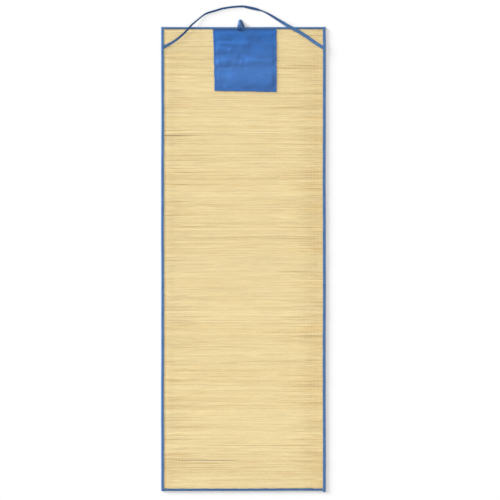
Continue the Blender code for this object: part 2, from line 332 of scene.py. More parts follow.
from_middle = 2 * stem_points[:, 0]
share = 0.5 + from_middle * (1.45 - 0.45 * from_middle ** 2) / 2
own_bend = rng.normal(0, 0.10 * MM, (stem_count, 4))
rest_y = stem_y[:, None] + sum(
    own_bend[:, [k]] * np.sin((k + 1) * np.pi * share[None, :] + k) for k in range(4)
)
left_x = side_x(rest_y, -1) + STRAW_INSET
right_x = side_x(rest_y, 1) - STRAW_INSET
place_x = left_x + (right_x - left_x) * share[None, :]
line_y = stem_line(place_x, rest_y)
low_z = straw_bottom(place_x, rest_y) + 0.22 * MM
high_z = straw_top(place_x, rest_y) - 0.28 * MM
sink = rng.uniform(0.0, 0.12, stem_count)[:, None] * (high_z - low_z)
thick = high_z - low_z - sink
place_y = line_y + stem_points[None, :, 1] * stem_width[:, None]
place_z = low_z + thick / 2 + stem_points[None, :, 2] / 0.433 * thick / 2
stem_count, stem_size = place_x.shape
print(stem_count, "stems, each about", round(float(stem_width.mean()) * 1000, 2), "mm wide")

# %% [markdown]
# ## The straw's tones
# From a distance the mat is a pale gold field with fine level streaks: single stems a little darker
# or lighter than their neighbours, thin dark lines where two stems stand apart, painted as shade on
# the stem beside the gap, and a duller, browner band near the side bindings. Each tone runs on for 4
# to 30 cm along a stem before it changes.

# %% Tone of every stem
def along_stem(strength, knots):
    """Random tones that change smoothly along each stem, at each of its points."""
    values = rng.normal(0, strength, (stem_count, knots + 1))
    at = share * knots
    below = np.minimum(at.astype(int), knots - 1)
    part = smooth(at - below)
    return values[:, below] * (1 - part) + values[:, below + 1] * part


def across_mat(strength, step):
    """Random tones that change smoothly from stem to stem."""
    knots = int(2 * HALF_LENGTH / step) + 2
    values = rng.normal(0, strength, knots)
    at = (stem_y + HALF_LENGTH) / step
    below = at.astype(int)
    part = smooth(at - below)
    return (values[below] * (1 - part) + values[below + 1] * part)[:, None]


shade_of = along_stem(0.040, 20) + along_stem(0.025, 8) + across_mat(0.014, 9 * MM)
shade_of += rng.normal(0, 0.020, (stem_count, 1))
calm = 0.62 + 0.45 * smooth((np.abs(place_x) - 0.08) / 0.18)
shade_of = 1.045 + shade_of * calm
ripe_of = 0.33 + along_stem(0.05, 9) + across_mat(0.02, 40 * MM) + rng.normal(0, 0.03, (stem_count, 1))

DARK_RUNS = 260
for _ in range(DARK_RUNS):
    row = rng.integers(stem_count)
    middle = rng.choice((-1, 1)) * HALF_WIDTH * rng.uniform(0, 1) ** 0.6
    reach = rng.uniform(15, 130) * MM
    run = np.exp(-((place_x[row] - middle) / reach) ** 4) * rng.uniform(0.05, 0.15)
    shade_of[row] -= run * calm[row]
    ripe_of[row] += run * calm[row] * 1.2
# Painted shade: the stem at each gap is made darker and browner, for the shade down in the gap.
for gap_y, start, end, opening in STRAW_GAPS:
    row = int(np.argmin(np.abs(stem_y - gap_y)))
    run = np.sin(np.pi * np.clip((place_x[row] - start) / (end - start), 0, 1)) ** 0.5
    shade_of[row] -= run * min(0.45, 500 * opening)
    ripe_of[row] += run * min(0.45, 600 * opening)
    place_z[row] -= run * 0.3 * MM

near_side = smooth((np.abs(place_x) - 0.20) / 0.10) * (0.75 + 0.25 * np.sign(place_x))
right_side = smooth((place_x - 0.15) / 0.15)
near_foot = smooth((-line_y - 0.62) / 0.2)
shade_of -= 0.045 * near_side + 0.03 * right_side + 0.035 * near_foot
ripe_of += 0.05 * near_side + 0.06 * right_side + 0.03 * near_foot
from_left, from_head = place_x + HALF_WIDTH, HALF_LENGTH - line_y
# Painted light: the straw about 13 mm inside the left binding and 11 mm inside the head binding is made
# paler, against the shadow that those bindings cast on it.
shade_of += 0.18 * np.exp(-((from_left - 13 * MM) / (7 * MM)) ** 2)
shade_of += 0.10 * np.exp(-((from_head - 11 * MM) / (5 * MM)) ** 2)
shade_of = np.clip(shade_of, 0.4, 1.3)
ripe_of = np.clip(ripe_of, 0.0, 1.0)
print("shade from", round(float(shade_of.min()), 2), "to", round(float(shade_of.max()), 2))

# %% Make the straw mesh
def joined_copies(name, points, faces, finish):
    """One mesh of many copies. points has the places of each copy's points, and faces are one copy's."""
    count, size = points.shape[:2]
    mesh = bpy.data.meshes.new(name)
    all_faces = [[v + size * k for v in face] for k in range(count) for face in faces]
    mesh.from_pydata(points.reshape(-1, 3), [], all_faces)
    mesh.materials.append(finish)
    mesh.shade_smooth()
    made = bpy.data.objects.new(name, mesh)
    bpy.context.scene.collection.objects.link(made)
    return made


stems = joined_copies("rush_stems", np.stack([place_x, place_y, place_z], axis=2), stem_faces, straw_finish)
for name, values in (("shade", shade_of), ("ripeness", ripe_of)):
    stems.data.attributes.new(name, "FLOAT", "POINT").data.foreach_set("value", values.ravel())
stems.data.set_sharp_from_angle(angle=math.radians(70))


def strip_map(mesh, count, points, faces, columns=4):
    """Gives each stem its own narrow strip of the map, so that a baked image keeps them apart."""
    corners = []
    for face in faces:
        turns = [math.atan2(points[v][1], points[v][2]) / (2 * math.pi) + 0.5 for v in face]
        if len(face) > 4:
            corners += [(points[v][0] + 0.5 + 0.004 * k, 0.5 + 0.01 * (k % 3)) for k, v in enumerate(face)]
            continue
        if max(turns) - min(turns) > 0.5:
            turns = [t + 1.0 if t < 0.5 else t for t in turns]
        corners += [(points[v][0] + 0.5, t / 1.2) for v, t in zip(face, turns)]
    corners, strips = np.array(corners), np.arange(count)
    u = (strips[:, None] % columns + 0.01 + 0.96 * corners[None, :, 0]) / columns
    v = (strips[:, None] // columns + 0.04 + 0.92 * corners[None, :, 1]) / math.ceil(count / columns)
    mesh.uv_layers.new(name="OFBake").data.foreach_set("uv", np.stack([u, v], axis=2).ravel())


strip_map(stems.data, stem_count, stem_points, stem_faces)
print("straw:", sum(len(f.vertices) - 2 for f in stems.data.polygons), "triangles")

# %% [markdown]
# ## The threads
# Thin cotton threads run the length of the mat, about 12 mm apart, and twist once round every stem. On
# each face a thread shows as one short slanted stitch over each stem, and its ends go down between
# the stems. So the stitch is one small spindle of three sides with two pointed ends, copied over every
# stem, on the upper face and on the lower one.

# %% Cotton finish
cotton_finish, tree, shader = new_finish("raw_cotton_thread", 0.8)
place = add_node(tree, "ShaderNodeTexCoord")
fluff = add_node(
    tree, "ShaderNodeTexNoise", [(place.outputs["Object"], "Vector")], Scale=1 / (9 * MM), Detail=3.0
)
ramp = add_node(tree, "ShaderNodeValToRGB", [(fluff.outputs["Fac"], "Fac")])
set_ramp(ramp, (0.3, "#E0D0A2"), (0.7, "#F0E4C0"))
tree.links.new(ramp.outputs["Color"], shader.inputs["Base Color"])
shader.inputs["Sheen Weight"].default_value = 0.2

# %% Threads over every stem
THREAD_PITCH = 11.8 * MM
THREAD_WIDTH = 1.1 * MM
THREAD_HEIGHT = 0.45 * MM

spindle_points = [(0, -0.5, 0), (0, 0.5, 0)]
for degrees in (90, 210, 330):
    angle = math.radians(degrees)
    spindle_points.append((0.5 * math.cos(angle), 0, 0.5 * math.sin(angle)))
spindle_points = np.array(spindle_points)
spindle_faces = [[0, 2 + k, 2 + (k + 1) % 3] for k in range(3)]
spindle_faces += [[1, 2 + (k + 1) % 3, 2 + k] for k in range(3)]

thread_count = int(2 * (HALF_WIDTH - 12 * MM) / THREAD_PITCH) + 1
thread_x = (np.arange(thread_count) - (thread_count - 1) / 2) * THREAD_PITCH


def lay_threads(name, lines, above):
    """One mesh of the stitches of some thread lines, on the upper or the lower face of the stems."""
    every = []
    for x in lines:
        at = (x - side_x(stem_y, -1) - STRAW_INSET) / (2 * HALF_WIDTH - 2 * STRAW_INSET)
        station = np.clip(at, 0, 1)
        y = stem_line(np.full(stem_count, x), stem_y + sum(
            own_bend[:, k] * np.sin((k + 1) * np.pi * station + k) for k in range(4)
        ))
        low = straw_bottom(x, stem_y) + 0.22 * MM
        high = straw_top(x, stem_y) - 0.28 * MM
        drop = sink[:, 0] / np.maximum((high_z - low_z)[:, 0], 1e-9) * (high - low)
        z = high - drop if above else low
        drift = rng.normal(0, 0.12 * MM, stem_count)
        centre = np.stack([x + 0.5 * MM * np.sin(y / 0.11 + x * 90) + drift, y, z], axis=1)
        size = np.stack([
            np.full(stem_count, THREAD_WIDTH), stem_width * 1.15, np.full(stem_count, THREAD_HEIGHT)
        ], axis=1)
        shape = spindle_points[None, :, :] * size[:, None, :]
        shape[:, :, 0] += shape[:, :, 1] * 0.22
        every.append(centre[:, None, :] + shape)
    made = joined_copies(name, np.concatenate(every), spindle_faces, cotton_finish)
    print(name, len(made.data.polygons), "triangles")
    return made


half = thread_count // 2
threads = [
    lay_threads("cotton_threads_left", thread_x[:half], True),
    lay_threads("cotton_threads_right", thread_x[half:], True),
    lay_threads("lower_threads_left", thread_x[:half], False),
    lay_threads("lower_threads_right", thread_x[half:], False),
]

# %% [markdown]
# ## The tape's finish
# The bindings, the strap and the loop are a blue cotton tape, woven flat. The tape across the two ends
# is a little duskier. Along the strap's arch and on the loop the colour is darkened as painted shade,
# standing in for the shade of the curled and leaning tape, and a number on their meshes says where.
# The face shows fine ribs across the tape and a row of tiny diagonal steps. Real ribs are about 0.5 mm
# apart, and are drawn at 1 mm so that they show. The weave follows the tape round every bend, so it
# reads the tape's own map, in metres along and across it.

# %% Tape finish
RIB_PITCH = 1.0 * MM
TWILL_PITCH = 2.4 * MM


def woven_tape(name, *stops):
    """A woven tape's finish. The stops are its dyed colours from the darkest to the lightest."""
    finish, tree, shader = new_finish(name, 0.75)
    along = add_node(tree, "ShaderNodeUVMap", uv_map="weave")
    rib_map = add_node(
        tree, "ShaderNodeMapping", [(along.outputs["UV"], "Vector")], Scale=(1 / RIB_PITCH, 0, 0)
    )
    ribs = add_node(
        tree, "ShaderNodeTexWave", [(rib_map.outputs["Vector"], "Vector")],
        wave_type="BANDS", bands_direction="X", Scale=math.pi / 10, Distortion=0.0,
    )
    twill_map = add_node(
        tree, "ShaderNodeMapping", [(along.outputs["UV"], "Vector")],
        Rotation=(0, 0, math.radians(45)), Scale=(1 / TWILL_PITCH, 1 / TWILL_PITCH, 1),
    )
    twill = add_node(
        tree, "ShaderNodeTexWave", [(twill_map.outputs["Vector"], "Vector")],
        wave_type="BANDS", bands_direction="X", Scale=math.pi / 10, Distortion=0.0,
    )
    weave = add_node(
        tree, "ShaderNodeMath", [(ribs.outputs["Fac"], 0), (twill.outputs["Fac"], 1)], operation="MULTIPLY"
    )
    blotch_map = add_node(
        tree, "ShaderNodeMapping", [(along.outputs["UV"], "Vector")], Scale=(1 / (35 * MM), 1 / (9 * MM), 1)
    )
    blotches = add_node(
        tree, "ShaderNodeTexNoise", [(blotch_map.outputs["Vector"], "Vector")], Scale=1.0, Detail=3.0
    )
    mixed = add_node(
        tree, "ShaderNodeMath", [(weave.outputs["Value"], 0), (blotches.outputs["Fac"], 1)], operation="ADD"
    )
    ramp = add_node(tree, "ShaderNodeValToRGB", [(mixed.outputs["Value"], "Fac")])
    set_ramp(ramp, *stops)
    # Painted shade: the colour is multiplied down towards #9FC0D3 where the mesh's number is 1, on the
    # strap's arch and the loop.
    arch_painted_shade = add_node(tree, "ShaderNodeAttribute", attribute_name="arch_painted_shade")
    painted_shade_ramp = add_node(tree, "ShaderNodeValToRGB", [(arch_painted_shade.outputs["Fac"], "Fac")])
    set_ramp(painted_shade_ramp, (0.0, "#FFFFFF"), (1.0, "#9FC0D3"))
    painted_shade_colour = add_node(
        tree, "ShaderNodeVectorMath", [(ramp.outputs["Color"], 0), (painted_shade_ramp.outputs["Color"], 1)],
        operation="MULTIPLY",
    )
    tree.links.new(painted_shade_colour.outputs["Vector"], shader.inputs["Base Color"])
    bump = add_node(
        tree, "ShaderNodeBump", [(weave.outputs["Value"], "Height")], Strength=0.6, Distance=0.12 * MM
    )
    tree.links.new(bump.outputs["Normal"], shader.inputs["Normal"])
    shader.inputs["Sheen Weight"].default_value = 0.15
    shader.inputs["Specular IOR Level"].default_value = 0.3
    return finish


tape_finish = woven_tape("woven_blue_cotton_tape", (0.25, "#2B4F80"), (0.6, "#376090"), (0.9, "#4C74A1"))
end_finish = woven_tape("woven_dusky_cotton_tape", (0.25, "#26466F"), (0.6, "#31547D"), (0.9, "#44678E"))

# %% [markdown]
# ## Sweeping a tape
# Every tape here is one closed loop of points, its cross-section, carried along a line of stations. It
# could be a flat strip with a Solidify modifier, but a swept loop gives rounded selvedges. The map
# "weave" holds metres along and round the tape. The map "OFBake" folds the long strip into rows that
# fill a square, which keeps its detail when the finish is baked into an image.

# %% Sweep a closed section
def swept_tape(name, loops, finish):
    """A closed piece through a list of loops of points, all with the same number of points."""
    loops = np.asarray(loops)
    stations, around = loops.shape[:2]
    steps = np.linalg.norm(np.diff(loops.mean(axis=1), axis=0), axis=1)
    along_m = np.concatenate([[0], np.cumsum(steps)])
    middle = loops[stations // 2]
    sides = np.linalg.norm(np.roll(middle, -1, axis=0) - middle, axis=1)
    round_m = np.concatenate([[0], np.cumsum(sides)])
    faces, weave_at, bake_at = [], [], []
    rows = max(1, round(math.sqrt(along_m[-1] / round_m[-1])))
    per_row = math.ceil((stations - 1) / rows)
    for k in range(stations - 1):
        row, first = k // per_row, k % per_row
        for j in range(around):
            after = (j + 1) % around
            here, there = k * around, (k + 1) * around
            faces.append((here + j, here + after, there + after, there + j))
            for step, turn_at in ((0, j), (0, j + 1), (1, j + 1), (1, j)):
                weave_at.append((along_m[k + step], round_m[turn_at]))
                share_round = 0.02 + 0.96 * round_m[turn_at] / round_m[-1]
                bake_at.append(((first + step) / per_row, (row + share_round) / rows))
    for cap in (range(around), range((stations - 1) * around, stations * around)):
        corners = list(cap)
        if cap[0] == 0:
            corners.reverse()
        faces.append(corners)
        for corner in corners:
            weave_at.append((along_m[-1], round_m[corner % around]))
            bake_at.append((0.999 + 0.001 * (corner % 2), 0.999 + 0.001 * (corner // 2 % 2)))
    mesh = bpy.data.meshes.new(name)
    mesh.from_pydata(loops.reshape(-1, 3), [], faces)
    for map_name, places in (("weave", weave_at), ("OFBake", bake_at)):
        mesh.uv_layers.new(name=map_name).data.foreach_set("uv", np.array(places).ravel())
    mesh.materials.append(finish)
    mesh.shade_smooth()
    mesh.set_sharp_from_angle(angle=math.radians(55))
    made = bpy.data.objects.new(name, mesh)
    bpy.context.scene.collection.objects.link(made)
    if signed_volume(mesh) < 0:
        mesh.flip_normals()
    print(name, round(along_m[-1] * 1000), "mm long,", len(mesh.polygons) * 2, "triangles")
    return made


def signed_volume(mesh):
    """Positive when the faces of a closed mesh point outwards."""
    mesh.calc_loop_triangles()
    corners = np.array([mesh.vertices[v].co[:] for t in mesh.loop_triangles for v in t.vertices])
    a, b, c = corners.reshape(-1, 3, 3).transpose(1, 0, 2)
    return float(np.einsum("ij,ij->i", a, np.cross(b, c)).sum() / 6)


# %% [markdown]
# ## The bindings
# A tape is folded over each edge of the straw and sewn through both legs. The section is a U: a lower
# leg on the floor, a round fold outside the straw and an upper leg on the straw. The stitches pull the
# upper leg down a little between them, so its edge is faintly scalloped. It swells where it covers
# the ends of the strap and the top of the panel.

# %% Folded section
TAPE = 0.9 * MM
PLAY = 0.3 * MM
FOLD_DEPTH = 1.6 * MM
BINDING_HEIGHT = TAPE_LEG + BOUND_THICK + PLAY + TAPE
BINDING_WIDTH = {"left": 10.0 * MM, "right": 10.5 * MM, "top": 8.0 * MM, "bottom": 9.0 * MM}
SELVEDGE = 0.25 * MM


def fold_loop(width, low_width, height, pucker):
    """The closed section of a folded tape, as (inside the mat's edge, height) pairs.

    pucker lowers the middle of the upper leg. The loop starts at the lower leg's inner edge."""
    outer, inner = [], []
    for inside in (low_width, low_width * 0.5, FOLD_DEPTH):
        outer.append((inside, 0.0))
        inner.append((inside, TAPE))
    for degrees in (-66, -44, -22, 0, 22, 44, 66):
        angle = math.radians(degrees)
        tall = height / 2
        outer.append((FOLD_DEPTH - FOLD_DEPTH * math.cos(angle), tall + tall * math.sin(angle)))
        tight = FOLD_DEPTH - TAPE
        inner.append((FOLD_DEPTH - tight * math.cos(angle), tall + (tall - TAPE) * math.sin(angle)))
    for inside, dip in ((FOLD_DEPTH, 0), (width * 0.42, 0.1), (width * 0.7, 1.0), (width - 1.2 * MM, 0.55)):
        outer.append((inside, height - dip * pucker))
        inner.append((inside, height - TAPE - dip * pucker * 0.5))
    outer.append((width - SELVEDGE, height - 0.02 * MM))
    inner.append((width - SELVEDGE, height - TAPE))
    tip = [(width, height - TAPE * 0.3), (width, height - TAPE * 0.7)]
    foot = [(low_width + SELVEDGE, TAPE * 0.7), (low_width + SELVEDGE, TAPE * 0.3)]
    return outer + tip + inner[::-1] + foot


def swell(away, span, ramp=9 * MM):
    """The extra height of a binding over what is sewn in under it."""
    return (TAPE + PLAY + 0.1 * MM) * (1 - smooth((np.abs(away) - span) / ramp))


STITCH_PITCH = 4.0 * MM
STRAP_END_Y = HALF_LENGTH - 76.5 * MM
PANEL_LEFT_TOP, PANEL_LEFT_BOTTOM, PANEL_RIGHT = -111.5 * MM, -105.5 * MM, 121.3 * MM
PANEL_MIDDLE = (PANEL_LEFT_TOP + PANEL_RIGHT) / 2
PANEL_SPAN = (PANEL_RIGHT - PANEL_LEFT_TOP) / 2 + 3 * MM


def uneven(length, strength, step, seed):
    """A smooth random wander along a length, as a function of the place."""
    knots = np.random.default_rng(seed).normal(0, strength, int(length / step) + 4)

    def at(place):
        t = np.clip((np.asarray(place) + length / 2) / step + 1, 0, len(knots) - 2)
        below = t.astype(int)
        part = smooth(t - below)
        return knots[below] * (1 - part) + knots[below + 1] * part

    return at


def side_binding(name, side, width, past, seed):
    """The tape down one side, with both its ends pressed together past the mat's ends."""
    straw_end = HALF_LENGTH - STRAW_INSET + 0.8 * MM
    count = round(2 * straw_end / STITCH_PITCH) * 2
    stations = [-HALF_LENGTH - past[0], -HALF_LENGTH - past[0] + 0.8 * MM]
    stations += list(np.linspace(-straw_end, straw_end, count))
    stations += [HALF_LENGTH + past[1] - 0.8 * MM, HALF_LENGTH + past[1]]
    edge, slack = uneven(1.75, 0.25 * MM, 14 * MM, seed), uneven(1.75, 0.12 * MM, 23 * MM, seed + 1)
    loops = []
    for y in stations:
        beyond = float(smooth((abs(y) - straw_end) / (HALF_LENGTH + 1 * MM - straw_end)))
        tall = BINDING_HEIGHT + float(swell(y - STRAP_END_Y, 14 * MM)) + float(slack(y))
        tall += (2 * TAPE + PLAY - tall) * beyond
        tip = 1.0 if y in (stations[0], stations[-1]) else 0.0
        pucker = 0.30 * MM * (0.6 + 0.4 * math.cos(2 * math.pi * y / STITCH_PITCH)) * (1 - beyond)
        shown = width + float(edge(y)) - 1.2 * MM * tip
        loop = fold_loop(shown, width * 0.97, tall, pucker)
        outside = float(side_x(y, side))
        loops.append([(outside - side * (inside + tip * 0.9 * MM * (inside < FOLD_DEPTH)), y, z)
                      for inside, z in loop])
    return swept_tape(name, loops, tape_finish)


def end_binding(name, end, width, seed):
    """The tape across one end, between the side bindings."""
    left = -HALF_WIDTH + BINDING_WIDTH["left"] + 0.9 * MM
    right = HALF_WIDTH - BINDING_WIDTH["right"] - 0.9 * MM
    stations = np.linspace(left, right, round((right - left) / STITCH_PITCH) * 2)
    edge, slack = uneven(0.62, 0.2 * MM, 14 * MM, seed), uneven(0.62, 0.12 * MM, 23 * MM, seed + 1)
    loops = []
    for x in stations:
        tall = BINDING_HEIGHT + float(slack(x))
        if end > 0:
            tall += float(swell(x - PANEL_MIDDLE, PANEL_SPAN))
        pucker = 0.30 * MM * (0.6 + 0.4 * math.cos(2 * math.pi * x / STITCH_PITCH))
        loop = fold_loop(width + float(edge(x)), width * 0.97, tall, pucker)
        outside = float(end_y(x, end))
        loops.append([(x, outside - end * inside, z) for inside, z in loop])
    return swept_tape(name, loops, end_finish)


# %% The four bindings
left_binding = side_binding("folded_tape_left", -1, BINDING_WIDTH["left"], (1.0 * MM, 1.0 * MM), 21)
right_binding = side_binding("folded_tape_right", 1, BINDING_WIDTH["right"], (4.0 * MM, 1.2 * MM), 31)
top_binding = end_binding("folded_tape_top", 1, BINDING_WIDTH["top"], 41)
bottom_binding = end_binding("folded_tape_bottom", -1, BINDING_WIDTH["bottom"], 51)

# %% [markdown]
# ## The strap and the loop
# Both are one 12 mm tape. The strap is flat where it leaves the side bindings. Along the arch its outer
# edge is a little raised, as in a tape that is bent in its own plane, and its edges curl under, so it
# looks narrower there. The loop's two ends are sewn side by side over the head binding. From there its legs
# lean together like the two sides of a hood, so no hole shows from above. The route tables give the
# place, the lean, the height of the lower edge and the width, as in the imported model. Both pieces are
# then swept with a thin section that is slightly hollow and has thin selvedges.

# %% Strap route
# across_mm from the mat's middle line, beyond_mm past the head end, lean_deg, foot_mm and width_mm
STRAP_ROUTE = (
    (-297.6, -76.7, 0, 3.3, 10.5),
    (-289.0, -72.5, 0, 3.3, 10.5),
    (-268.0, -61.2, 14, 3.2, 9.4),
    (-253.5, -52.4, 16, 3.0, 8.6),
    (-238.0, -41.0, 18, 2.9, 8.0),
    (-219.0, -24.5, 20, 3.3, 7.3),
    (-202.5, -8.0, 22, 4.6, 6.8),
    (-190.0, 6.5, 24, 4.2, 6.2),
    (-168.0, 26.0, 22, 1.5, 5.4),
    (-146.0, 43.8, 20, 0.5, 5.8),
    (-130.0, 52.0, 20, 0.4, 6.9),
    (-102.0, 60.1, 18, 0.4, 7.4),
    (-78.5, 67.3, 18, 0.4, 7.3),
    (-45.0, 73.0, 18, 0.4, 6.8),
    (-5.0, 75.8, 18, 0.4, 7.1),
    (20.5, 71.6, 16, 0.4, 9.0),
    (45.0, 66.0, 16, 0.4, 9.1),
    (66.0, 60.2, 24, 0.4, 5.0),
    (87.0, 50.8, 22, 0.4, 6.5),
    (106.0, 39.8, 20, 0.6, 8.2),
    (126.0, 27.1, 20, 1.2, 9.2),
    (146.0, 14.8, 18, 2.6, 10.8),
    (165.5, 2.5, 16, 4.7, 11.6),
    (185.0, -7.9, 14, 4.6, 12.0),
    (204.5, -18.3, 14, 4.0, 12.0),
    (234.0, -37.0, 8, 3.2, 12.0),
    (259.0, -55.0, 3, 3.0, 12.0),
    (284.0, -70.7, 0, 3.3, 12.0),
    (297.1, -79.0, 0, 3.3, 12.0),
)
LOOP_ROUTE = (
    (-16.3, -13.0, 180, 4.6, 12.0),
    (-16.3, -8.0, 180, 5.8, 12.0),
    (-16.3, -2.0, 176, 5.8, 12.0),
    (-16.2, 2.7, 170, 4.9, 12.0),
    (-15.8, 6.4, 160, 3.4, 12.0),
    (-15.1, 10.0, 146, 2.2, 12.0),
    (-14.8, 13.7, 140, 1.3, 12.0),
    (-14.7, 17.4, 132, 0.7, 12.0),
    (-15.5, 21.3, 121, 0.5, 12.0),
    (-14.3, 24.2, 120, 0.4, 12.0),
    (-11.4, 25.4, 120, 0.4, 12.0),
    (-8.5, 24.2, 120, 0.4, 12.0),
    (-7.3, 21.3, 121, 0.5, 12.0),
    (-5.7, 17.4, 126, 0.7, 12.0),
    (-4.8, 13.7, 133, 1.3, 12.0),
    (-4.0, 10.0, 146, 2.2, 12.0),
    (-2.9, 6.4, 162, 3.4, 12.0),
    (-2.4, 2.7, 170, 4.9, 12.0),
    (-2.3, -2.0, 176, 5.8, 12.0),
    (-2.3, -8.0, 180, 5.8, 12.0),
    (-2.3, -13.0, 180, 4.6, 12.0),
)
STRAP_WIDTH = 12 * MM


def route_points(route, step):
    """Stations about one step apart on a smooth curve through a route's rows."""
    rows = [
        Vector((x * MM, y * MM, math.radians(lean), foot * MM, width * MM))
        for x, y, lean, foot, width in route
    ]
    found = []
    for k in range(len(rows) - 1):
        before, here = rows[max(k - 1, 0)], rows[k]
        there, after = rows[k + 1], rows[min(k + 2, len(rows) - 1)]
        cuts = max(1, round((there.xy - here.xy).length / step))
        for cut in range(cuts):
            t = cut / cuts
            found.append(0.5 * (
                2 * here + (there - before) * t + (2 * before - 5 * here + 4 * there - after) * t * t
                + (3 * here - before - 3 * there + after) * t * t * t
            ))
    found.append(rows[-1])
    return found


def tape_section():
    """The closed section of a flat tape, as (share of its width from -0.5 to 0.5, height) pairs."""
    upper = []
    for share_across in np.linspace(-0.5, 0.5, 9):
        hollow = 0.10 * MM * (1 - (2 * share_across) ** 2)
        edge = 0.55 if abs(share_across) > 0.49 else 1.0
        upper.append((share_across, TAPE / 2 * edge - hollow))
    lower = [(share_across, -high * 0.9) for share_across, high in reversed(upper)]
    return upper + lower


def tape_run(name, route, step, ends_along):
    """A flat tape along a route, its outer edge raised where it leans."""
    stations = route_points(route, step)
    loops = []
    for k, station in enumerate(stations):
        behind, ahead = stations[max(k - 1, 0)], stations[min(k + 1, len(stations) - 1)]
        way = (ahead.xy - behind.xy).normalized()
        sideways = Vector((-way.y, way.x, 0))
        outward = sideways
        if k in (0, len(stations) - 1):
            cut = Vector(ends_along)
            outward = cut * math.copysign(1, cut.dot(sideways)) / abs(cut.dot(sideways))
        lean, foot, width = max(station.z, 0.0), station.w, station[4]
        across = outward * math.cos(lean) + Vector((0, 0, math.sin(lean)))
        face = Vector((0, 0, math.cos(lean))) - sideways * math.sin(lean)
        middle_z = foot + width / 2 * math.sin(lean) + TAPE / 2 * abs(math.cos(lean))
        middle = Vector((station.x, HALF_LENGTH + station.y, middle_z))
        loops.append([middle + across * (width * share_across) + face * high
                      for share_across, high in tape_section()])
    return swept_tape(name, loops, tape_finish)


def paint_tape_shade(made, from_left, from_right, most):
    """Paints shade on a tape, darkest between the two ramps, each a place where it starts and
    where it is complete, across the mat."""
    x = np.array([v.co.x for v in made.data.vertices])
    shade_amount = smooth((x - from_left[0]) / (from_left[1] - from_left[0]))
    shade_amount = shade_amount * smooth((x - from_right[0]) / (from_right[1] - from_right[0])) * most
    made.data.attributes.new("arch_painted_shade", "FLOAT", "POINT").data.foreach_set("value", shade_amount)


strap = tape_run("carry_strap_tape", STRAP_ROUTE, 3 * MM, (0, 1, 0))
# Painted shade on the strap's arch, and a little less of it over the whole loop.
paint_tape_shade(strap, (-265 * MM, -205 * MM), (180 * MM, 118 * MM), 1.0)
loop_tape = tape_run("closing_loop_tape", LOOP_ROUTE, 0.9 * MM, (1, 0, 0))
paint_tape_shade(loop_tape, (-60 * MM, -50 * MM), (50 * MM, 40 * MM), 0.85)

# %% [markdown]
# ## The panel's finish
# The panel is thin dyed nylon. Close to, it is a very fine plain weave. From a step away it is a smooth
# saturated blue with a soft sheen that follows its folds, deepest near the head end and a little lighter
# further down. The weave is really about 0.25 mm a thread, and is drawn at 0.8 mm. A low broad crumple
# under it breaks up the sheen, and the same crumple makes the colour lighter and darker, as painted
# shade and light of the crumples.

# %% Panel finish
THREAD_DRAWN = 0.8 * MM

panel_finish, tree, shader = new_finish("dyed_nylon_cloth", 0.42)
place = add_node(tree, "ShaderNodeTexCoord")
waves = []
for direction in ("X", "Y"):
    waves.append(add_node(
        tree, "ShaderNodeTexWave", [(place.outputs["Object"], "Vector")],
        wave_type="BANDS", bands_direction=direction, Scale=math.pi / 10 / THREAD_DRAWN, Distortion=0.0,
    ))
weave = add_node(
    tree, "ShaderNodeMath", [(waves[0].outputs["Fac"], 0), (waves[1].outputs["Fac"], 1)],
    operation="MULTIPLY",
)
crumple_map = add_node(
    tree, "ShaderNodeMapping", [(place.outputs["Object"], "Vector")], Scale=(1 / 0.070, 1 / 0.030, 1 / 0.070)
)
crumple = add_node(
    tree, "ShaderNodeTexNoise", [(crumple_map.outputs["Vector"], "Vector")],
    Scale=1.0, Detail=3.0, Roughness=0.5,
)
split = add_node(tree, "ShaderNodeSeparateXYZ", [(place.outputs["Object"], "Vector")])
from_foot = add_node(
    tree, "ShaderNodeMapRange", [(split.outputs["Y"], "Value")], From_Min=0.612, From_Max=0.81
)
dye = add_node(tree, "ShaderNodeValToRGB", [(from_foot.outputs["Result"], "Fac")])
set_ramp(dye, (0.0, "#1B589D"), (0.25, "#2860A5"), (0.45, "#2961A6"), (1.0, "#08569F"))
# Painted shade and light: the dye is made darker and lighter in the crumple's own pattern, for the crumples'
# shading.
crumple_painted_shade = add_node(
    tree, "ShaderNodeMapRange", [(crumple.outputs["Fac"], "Value")],
    From_Min=0.3, From_Max=0.7, To_Min=0.84, To_Max=1.14,
)
dyed = add_node(
    tree, "ShaderNodeVectorMath", [(dye.outputs["Color"], 0), (crumple_painted_shade.outputs["Result"], "Scale")],
    operation="SCALE",
)
tree.links.new(dyed.outputs["Vector"], shader.inputs["Base Color"])
broad = add_node(
    tree, "ShaderNodeBump", [(crumple.outputs["Fac"], "Height")], Strength=0.15, Distance=2.0 * MM
)
fine = add_node(
    tree, "ShaderNodeBump", [(weave.outputs["Value"], "Height"), (broad.outputs["Normal"], "Normal")],
    Strength=0.25, Distance=0.05 * MM,
)
tree.links.new(fine.outputs["Normal"], shader.inputs["Normal"])
shader.inputs["Sheen Weight"].default_value = 0.1

# %% [markdown]
# ## The panel's shape
# The panel is a square of cloth with a narrow hem turned under, sewn down round its border. Inside the
# stitching it is a little too big for its place, so it stands up in soft level folds. It comes out
# high from under the head binding and dips at once, which leaves a dark line there. A flat grid is
# given the folds one by one: each is a line from one place to another, with a width and a height, up
# for a ridge and down for a trough. Solidify then gives the cloth its thickness.

# %% Panel folds
PANEL_DEPTH_LEFT = 234 * MM
PANEL_DEPTH_RIGHT = 238 * MM
PANEL_TUCK = 5.0 * MM
PANEL_CUTS = 150
PANEL_PUFF = 1.1 * MM
HEM_WIDTH = 7 * MM
